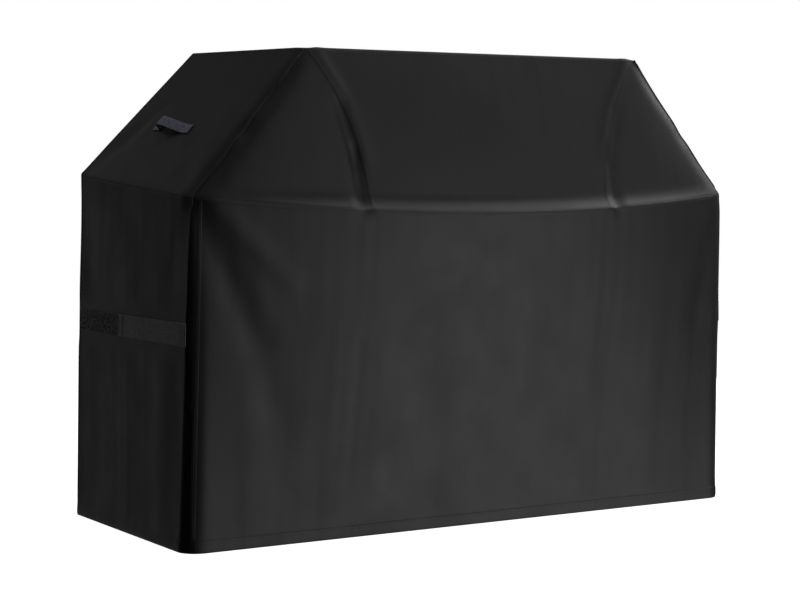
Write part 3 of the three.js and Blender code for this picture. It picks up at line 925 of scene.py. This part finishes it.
def make_hem(surface, sizes, side, finishes):
    name = side + "_skirt"
    piece = Piece(side + "_hem_band")
    points, faces, grain = cloth_body(
        surface, name, True, lambda p: hem_height_profile(p, sizes), sizes.hem_cloth
    )
    piece.add(points, faces, grain, finishes["hem"], finishes["lining"])
    rows = surface.grids[name][: HEM_ROWS + 1]
    share = 1 - HEM_STITCH_INSET / sizes.hem_height
    above = int(np.searchsorted(HEM_TICKS, share))
    between = (share - HEM_TICKS[above - 1]) / (HEM_TICKS[above] - HEM_TICKS[above - 1])
    line, normals = (
        lerp(values[rows[above - 1]], values[rows[above]], between)
        for values in (surface.points, surface.normals)
    )
    piece.stitches(line, normals, HEM_STITCH_LIFT, finishes["thread"])
    made = piece.finish("hem_cloth")
    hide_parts(side + "_hem")
    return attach(made, "root")


# ---- Seams ----


def make_seam(surface, name, strips, finishes):
    piece = Piece(name + "_seam")
    distances, heights = np.array(BAND).T * MM
    points, normals = across(surface, strips[0], distances)
    bottom = points - normals * 0.15 * MM
    band = points + normals * heights[:, None]
    piece.sheet(band, bottom, rails(points), finishes["cloth"])
    for distance in BAND_STITCHES:
        line, off = across(surface, strips[0], np.array([distance]))
        piece.stitches(line[:, 0], off[:, 0], BAND_STITCH_LIFT, finishes["thread"])
    wide = np.minimum(*(strip_width(surface, strip) for strip in strips)) > 1.3 * TAPE_REACH
    distances = np.array([0, 2, 5, 8, 10]) * MM
    first, second = (across(surface, strip[wide], distances) for strip in strips)
    points = np.concatenate([first[0][:, ::-1], second[0][:, 1:]], 1)
    normals = np.concatenate([first[1][:, ::-1], second[1][:, 1:]], 1)
    upper = points - normals * TAPE_DEPTH
    piece.sheet(upper[1:-1], (upper - normals * TAPE_THICKNESS)[1:-1], rails(points[1:-1]), finishes["tape"])
    made = piece.finish("seam_tape")
    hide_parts(name + "_tape")
    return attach(made, "root")


# ---- Handles and straps ----

Place = namedtuple("Place", "origin along off up")


def lying_on(surface, u, v):
    """A frame on the left half of the cover: along it backwards, off it and up it"""
    step = 0.01
    origin = surface(np.array(u), np.array(v))
    along = unit(surface(np.array(u + step), np.array(v)) - surface(np.array(u - step), np.array(v)))
    down = surface(np.array(u), np.array(v - step)) - surface(np.array(u), np.array(v + step))
    off = unit(np.cross(along, down))
    return Place(origin, along, off, np.cross(along, off))


def handle_place(sizes):
    shape = CoverShape(sizes)
    middle = (low("left_handle_front_end", 1) + high("left_handle_back_end", 1)) / 2
    front = shape.slope(np.array(0.0), np.array(HANDLE_UP_SLOPE))[1]
    back = shape.slope(np.array(1.0), np.array(HANDLE_UP_SLOPE))[1]
    return lying_on(shape.slope, (middle - front) / (back - front), HANDLE_UP_SLOPE)


def strap_place(sizes):
    shape = CoverShape(sizes)
    height = (low("left_loop_strip", 2) + high("left_loop_strip", 2)) / 2
    return lying_on(lambda u, v: shape.side(u, v * height), 0.5, 1.0)


def along_strap(sizes, node, end):
    """Where a node of the left strap begins (0) or stops (1), from the strap's middle"""
    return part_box(node)[end][1] - strap_place(sizes).origin[1]


def fitting_lines(sizes):
    """The handle and the strap on the left: middle, direction, half length"""
    handle, strap = handle_place(sizes), strap_place(sizes)
    middle = (low("left_hook_strap_sewn_end", 1) + high("left_loop_strip", 1)) / 2
    half = (high("left_loop_strip", 1) - low("left_hook_strap_sewn_end", 1)) / 2
    centre = strap.origin + strap.along * (middle - strap.origin[1])
    return [(handle.origin, handle.along, 0.09), (centre, strap.along, half)]


def on_place(place, along, off, up):
    """Points of the cover from distances along, off and up a place"""
    parts = np.broadcast_arrays(*(np.asarray(v, float) for v in (along, off, up)))
    return place.origin + sum(p[..., None] * axis for p, axis in zip(parts, place[1:]))


def rounded_path(path, spacing, cuts=3):
    """A path with its corners cut, read at even steps"""
    for _ in range(cuts):
        quarter, three = lerp(path[:-1], path[1:], 0.25), lerp(path[:-1], path[1:], 0.75)
        path = np.vstack([path[:1], np.stack([quarter, three], 1).reshape(-1, 2), path[-1:]])
    gone = distances_along(path)
    return laid(path, gone, np.linspace(0, gone[-1], round(gone[-1] / spacing)))


def ribbon(place, path, half_width, thickness, spacing, relief):
    """Outer and inner grids of a strip whose underside follows a path. relief(along, up) is added
    to the outer face, and the ends and edges are rounded"""
    middle = np.linspace(-0.9, 0.9, round(1.8 * half_width / spacing))
    lanes = np.concatenate([[-1, -0.985, -0.95], middle, [0.95, 0.985, 1]])
    slope = unit(np.gradient(path, axis=0))
    off2d = np.stack([-slope[:, 1], slope[:, 0]], -1)
    gone = distances_along(path)
    end = np.minimum(gone, gone[-1] - gone)
    body = np.sqrt(1 - np.abs(lanes) ** 14 * 0.8) * np.sqrt(0.3 + 0.7 * smooth(end / (1.5 * MM)))[:, None]
    top = thickness * (0.5 + 0.5 * body) + relief(gone[:, None], lanes[None] * half_width)
    under = thickness * (0.5 - 0.5 * body)
    outer, inner = (
        on_place(
            place,
            path[:, :1] + off2d[:, :1] * h,
            path[:, 1:] + off2d[:, 1:] * h,
            lanes * half_width,
        )
        for h in (top, under)
    )
    grain = vec(lanes * half_width, gone[:, None], 0) / MM
    return outer, inner, grain


def mirrored(points, side):
    return points if side == "left" else points * (-1, 1, 1)


def placed(place, side):
    """A place on the left as it is on that side. Its frame is mirrored too"""
    return Place(*(mirrored(v, side) for v in place))


def webbing_relief(along, up):
    """Upright cords 2.5 mm apart, rows of picks, and a soft crease down the middle"""
    cords = 0.10 * np.cos(2 * np.pi * up / (2.5 * MM))
    picks = 0.06 * np.sin(2 * np.pi * along / (2.2 * MM) + np.pi * np.floor(up / (2.5 * MM)))
    crease = -0.55 * np.exp(-((up / (1.6 * MM)) ** 2)) + 0.3 * np.exp(-((up / (5 * MM)) ** 2))
    return MM * (cords + picks + crease)


def box_stitch(piece, place, start, end, half, height, thread):
    """A square of stitches with a cross in it"""
    corners = [(start, -half), (end, -half), (end, half), (start, half), (start, -half)]
    runs = [*zip(corners[:-1], corners[1:]), (corners[0], corners[2]), (corners[1], corners[3])]
    for first, last in runs:
        ends = np.linspace(first, last, 6)
        line = on_place(place, ends[:, 0], 0, ends[:, 1])
        piece.stitches(line, place.off, height, thread)


def make_handle(sizes, side, finishes):
    place = placed(handle_place(sizes), side)
    piece = Piece(side + "_handle_webbing")
    path = rounded_path(HANDLE_PATH, 0.9 * MM)
    grids = ribbon(place, path, HANDLE_HALF_WIDTH, WEBBING, 0.9 * MM, webbing_relief)
    piece.sheet(*grids, finishes["webbing"])
    tip = HANDLE_PATH[-1, 0]
    sewn_top = HANDLE_PATH[-1, 1] + 0.9 * WEBBING
    for sign in (-1, 1):
        span = np.linspace(tip - FOLD_BACK, tip, 34)
        flat = np.stack([np.sort(sign * span), np.full(34, sewn_top)], -1)
        grids = ribbon(place, flat, 0.985 * HANDLE_HALF_WIDTH, 1.2 * MM, 1.1 * MM, webbing_relief)
        piece.sheet(*grids, finishes["webbing"])
        ends = (sign * (tip - FOLD_BACK + 4 * MM), sign * (tip - 4 * MM))
        box_stitch(piece, place, *ends, 8.5 * MM, sewn_top + 1.25 * MM, finishes["thread"])
    made = piece.finish("handle_webbing", 50)
    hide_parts(*(f"{side}_handle_{part}" for part in ("front_end", "grip", "back_end")))
    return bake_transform(made)


def hooks_relief(along, up):
    """Woven back: fine diagonal twill"""
    return 0.05 * MM * np.sin(2 * np.pi * (along + up) / (3.2 * MM))


def make_hook_strap(sizes, side, finishes):
    place = placed(strap_place(sizes), side)
    front = along_strap(sizes, "left_hook_strap_sewn_end", 0)
    hinge = along_strap(sizes, "left_hook_strap", 0)
    loop = along_strap(sizes, "left_loop_strip", 0)
    back = along_strap(sizes, "left_hook_strap", 1)
    over = STRAP_PAD + LOOP_THICKNESS + 0.6 * MM
    path = np.array([
        (front, STRAP_PAD), (loop - STRAP_RAMP, STRAP_PAD), (loop - 2 * MM, over),
        (back - 30 * MM, over), (back, over),
    ])
    piece = Piece(side + "_hook_strap_tape")
    outer, inner, grain = ribbon(place, rounded_path(path, 2.0 * MM), STRAP_HALF_WIDTH, STRAP_THICKNESS,
                                 2.0 * MM, hooks_relief)
    piece.sheet(outer, inner, grain, finishes["hook"])
    tab = 26 * MM  # the free end is doubled over and stitched down
    on_top = over + 0.8 * STRAP_THICKNESS
    folded = rounded_path(np.array([(back - tab, on_top), (back - 0.2 * MM, on_top)]), 1.5 * MM, 0)
    piece.sheet(*ribbon(place, folded, 0.99 * STRAP_HALF_WIDTH, 0.9 * MM, 2 * MM, hooks_relief),
                finishes["hook"])
    inset = STRAP_HALF_WIDTH - 3 * MM
    top = STRAP_PAD + STRAP_THICKNESS
    box_stitch(piece, place, front + 3 * MM, hinge - 4 * MM, inset, top, finishes["thread"])
    lift = over + 1.65 * STRAP_THICKNESS
    for row in (back - tab + 4 * MM, back - 4 * MM):
        line = on_place(place, row, 0, np.linspace(-inset, inset, 9))
        piece.stitches(line, place.off, lift, finishes["thread"])
    made = piece.finish("hook_tape", 50)
    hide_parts(side + "_hook_strap_sewn_end", side + "_hook_strap")
    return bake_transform(made)


def pile_relief(along, up):
    """Tufts of brushed loops, uneven in height, that stop short of the woven edge"""
    a, b = along / MM, up / MM
    tufts = 0
    for k, p, q, h in ((0.9, 0.3, 1.1, 0.22), (1.63, 2.0, 0.4, 0.2), (2.3, 4.1, 3.3, 0.14)):
        wander = np.sin(k * a + p + 1.7 * np.sin(0.61 * k * b + q))
        tufts = tufts + h * wander * np.sin(0.87 * k * b + q + 1.3 * np.sin(0.53 * k * a + p))
    edge_fade = smooth((STRAP_HALF_WIDTH - np.abs(up)) / (4 * MM))
    return MM * edge_fade * (0.25 + tufts)


def make_loop_strip(sizes, side, finishes):
    place = placed(strap_place(sizes), side)
    front, back = (along_strap(sizes, "left_loop_strip", end) for end in (0, 1))
    path = rounded_path(np.array([(front, STRAP_PAD), (back, STRAP_PAD)]), 1.3 * MM, 0)
    piece = Piece(side + "_loop_strip_pile")
    piece.sheet(*ribbon(place, path, STRAP_HALF_WIDTH, 0.75 * LOOP_THICKNESS, 1.3 * MM, pile_relief),
                finishes["loop"])
    inset, top = STRAP_HALF_WIDTH - 2 * MM, STRAP_PAD + 0.8 * LOOP_THICKNESS
    ends = (front + 3 * MM, back - 3 * MM)
    turns = ((0, -1), (1, -1), (1, 1), (0, 1), (0, -1))
    corners = [(ends[k], b * inset) for k, b in turns]
    for first, last in zip(corners[:-1], corners[1:]):
        run = np.linspace(first, last, 24)
        line = on_place(place, run[:, 0], 0, run[:, 1])
        piece.stitches(line, place.off, top, finishes["thread"])
    made = piece.finish("loop_pile", 60)
    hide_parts(side + "_loop_strip")
    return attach(made, "root")


# ---- Stage ----

CAMERA_AZIMUTH, CAMERA_ELEVATION = -31.5, 3.645  # degrees
CAMERA_DISTANCE = 4.75
CAMERA_AIM = (-0.0606, -0.0107, 0.5052)
LENS = 90.1  # mm
SOFTBOX_DISTANCE = 3.6
SOFTBOX_SIZE = 1.8
SOFTBOX_AIM = (0, 0, 0.6)
# Azimuth and elevation in degrees, and watts. The low ones shine up through the floor
SOFTBOXES = {
    "key": (30, -15, 22),
    "low": (30, -38, 14),
    "low_right": (60, -38, 7),
    "front": (0, 8, 12.5),
    "front_right": (30, 8, 7),
    "right_high": (90, 35, 50),
    "overhead_right": (60, 62, 12),
    "overhead": (0, 88, 34),
    "left": (-150, 8, 1.6),
    "left_low": (-150, -15, 2),
    "left_under": (-150, -38, 3.3),
    "left_high": (-150, 35, 1.8),
    "back": (180, 8, 4),
    "back_low": (150, -15, 25),
}
AMBIENT = 0.002  # of the white surroundings, as a light
FLOOR_RADIUS = 40
FLOOR_SIDES = 96


def toward(azimuth, elevation):
    a, e = math.radians(azimuth), math.radians(elevation)
    return Vector((math.sin(a) * math.cos(e), -math.cos(a) * math.cos(e), math.sin(e)))


def aimed(name, data, aim, azimuth, elevation, distance):
    """A light or a camera that looks at a point"""
    made = bpy.data.objects.new(name, data)
    back = toward(azimuth, elevation)
    made.location = Vector(aim) + back * distance
    made.rotation_mode = "QUATERNION"
    made.rotation_quaternion = back.to_track_quat("Z", "Y")
    bpy.context.scene.collection.objects.link(made)
    return made


def softbox(name, azimuth, elevation, power):
    light = bpy.data.lights.new(name, "AREA")
    light.shape, light.size, light.energy = "SQUARE", SOFTBOX_SIZE, power
    made = aimed(name, light, SOFTBOX_AIM, azimuth, elevation, SOFTBOX_DISTANCE)
    made.visible_camera = False


def make_camera():
    data = bpy.data.cameras.new("camera")
    data.lens, data.sensor_width = LENS, 36
    bpy.context.scene.camera = aimed(
        "camera", data, CAMERA_AIM, CAMERA_AZIMUTH, CAMERA_ELEVATION, CAMERA_DISTANCE
    )


def lit_paint(tree, colour):
    """Matt white paint, lit so brightly that it reads as plain white"""
    grey = node(tree, "TexNoise", {"Scale": 3.0}).outputs["Fac"]
    surfaced(tree, shades(tree, grey, colour, 0.99, 1.0), 0.9, None,
             Specular_IOR_Level=0.1, Emission_Color=(1, 1, 1, 1), Emission_Strength=1.0)


def make_floor(colour):
    """A wide pale disc under the cover"""
    turn = np.arange(FLOOR_SIDES) * 2 * np.pi / FLOOR_SIDES
    rim = vec(FLOOR_RADIUS * np.cos(turn), FLOOR_RADIUS * np.sin(turn), CAD_BOX[0].z - 0.5 * MM)
    mesh = bpy.data.meshes.new("studio_floor")
    mesh.from_pydata(rim.tolist(), [], [range(FLOOR_SIDES)])
    floor = bpy.data.objects.new("studio_floor", mesh)
    mesh.materials.append(material("painted_floor", lit_paint, colour))
    # All the cover's light comes from the softboxes, some of them below the floor
    floor.visible_diffuse = floor.visible_glossy = floor.visible_shadow = False
    bpy.context.scene.collection.objects.link(floor)


def make_world():
    """White behind the cover, and dimmer as a light"""
    world = bpy.data.worlds.new("studio")
    world.use_nodes = True
    tree = world.node_tree
    tree.nodes.clear()
    seen = node(tree, "LightPath").outputs["Is Camera Ray"]
    strength = spread(tree, seen, AMBIENT, 1.0, 0, 1)
    sky = node(tree, "Background", {"Color": (1, 1, 1, 1), "Strength": strength})
    node(tree, "OutputWorld", {"Surface": sky.outputs[0]})
    bpy.context.scene.world = world


# ---- Operators ----


class COVER_OT_panels(bpy.types.Operator):
    """Make the eleven cloth panels"""

    bl_idname = "cover.panels"
    bl_label = "Cloth panels"

    def execute(self, context):
        sizes, finishes = sizes_of(context), cover_materials(context)
        for name in PANELS:
            make_panel(surface_of(sizes), sizes, name, finishes)
        return {"FINISHED"}


class COVER_OT_hems(bpy.types.Operator):
    """Make the four folded hems with their stitches"""

    bl_idname = "cover.hems"
    bl_label = "Hems"

    def execute(self, context):
        sizes, finishes = sizes_of(context), cover_materials(context)
        for side in HEMMED:
            make_hem(surface_of(sizes), sizes, side, finishes)
        return {"FINISHED"}


class COVER_OT_seams(bpy.types.Operator):
    """Make the felled seams with their stitches and inner tapes"""

    bl_idname = "cover.seams"
    bl_label = "Seams"

    def execute(self, context):
        surface, finishes = surface_of(sizes_of(context)), cover_materials(context)
        for name, strips in seams_of(surface.grids).items():
            make_seam(surface, name, strips, finishes)
        return {"FINISHED"}


class COVER_OT_handles(bpy.types.Operator):
    """Make the two webbing handles"""

    bl_idname = "cover.handles"
    bl_label = "Handles"

    def execute(self, context):
        for side in SIDES:
            make_handle(sizes_of(context), side, cover_materials(context))
        return {"FINISHED"}


class COVER_OT_straps(bpy.types.Operator):
    """Make the two hook straps and the two loop strips"""

    bl_idname = "cover.straps"
    bl_label = "Side straps"

    def execute(self, context):
        for side in SIDES:
            make_hook_strap(sizes_of(context), side, cover_materials(context))
            make_loop_strip(sizes_of(context), side, cover_materials(context))
        return {"FINISHED"}


class COVER_OT_stage(bpy.types.Operator):
    """Make the floor, the lights, the white surroundings and the camera"""

    bl_idname = "cover.stage"
    bl_label = "Studio"

    def execute(self, context):
        make_camera()
        make_floor(context.scene.cover_colours.floor)
        make_world()
        for name, settings in SOFTBOXES.items():
            softbox(name, *settings)
        context.scene.view_settings.view_transform = "Standard"
        return {"FINISHED"}


class COVER_PT_panel(bpy.types.Panel):
    """Sizes, colours and the steps that make the cover"""

    bl_idname = "COVER_PT_panel"
    bl_label = "Grill cover"
    bl_space_type = "VIEW_3D"
    bl_region_type = "UI"
    bl_category = "Cover"

    def draw(self, context):
        for group in (context.scene.cover_sizes, context.scene.cover_colours):
            for name in group.__annotations__:
                self.layout.prop(group, name)
        for operator in OPERATORS:
            self.layout.operator(operator.bl_idname)


OPERATORS = (
    COVER_OT_stage, COVER_OT_hems, COVER_OT_panels, COVER_OT_seams, COVER_OT_handles, COVER_OT_straps,
)
CLASSES = (CoverSizes, CoverColours, *OPERATORS, COVER_PT_panel)


def register():
    for cls in CLASSES:
        bpy.utils.register_class(cls)
    bpy.types.Scene.cover_sizes = PointerProperty(type=CoverSizes)
    bpy.types.Scene.cover_colours = PointerProperty(type=CoverColours)


def unregister():
    del bpy.types.Scene.cover_sizes
    del bpy.types.Scene.cover_colours
    for cls in reversed(CLASSES):
        bpy.utils.unregister_class(cls)


def main():
    register()
    bpy.ops.cover.stage()
    bpy.ops.cover.hems()
    bpy.ops.cover.panels()
    bpy.ops.cover.seams()
    bpy.ops.cover.handles()
    bpy.ops.cover.straps()


if __name__ == "__main__":
    main()
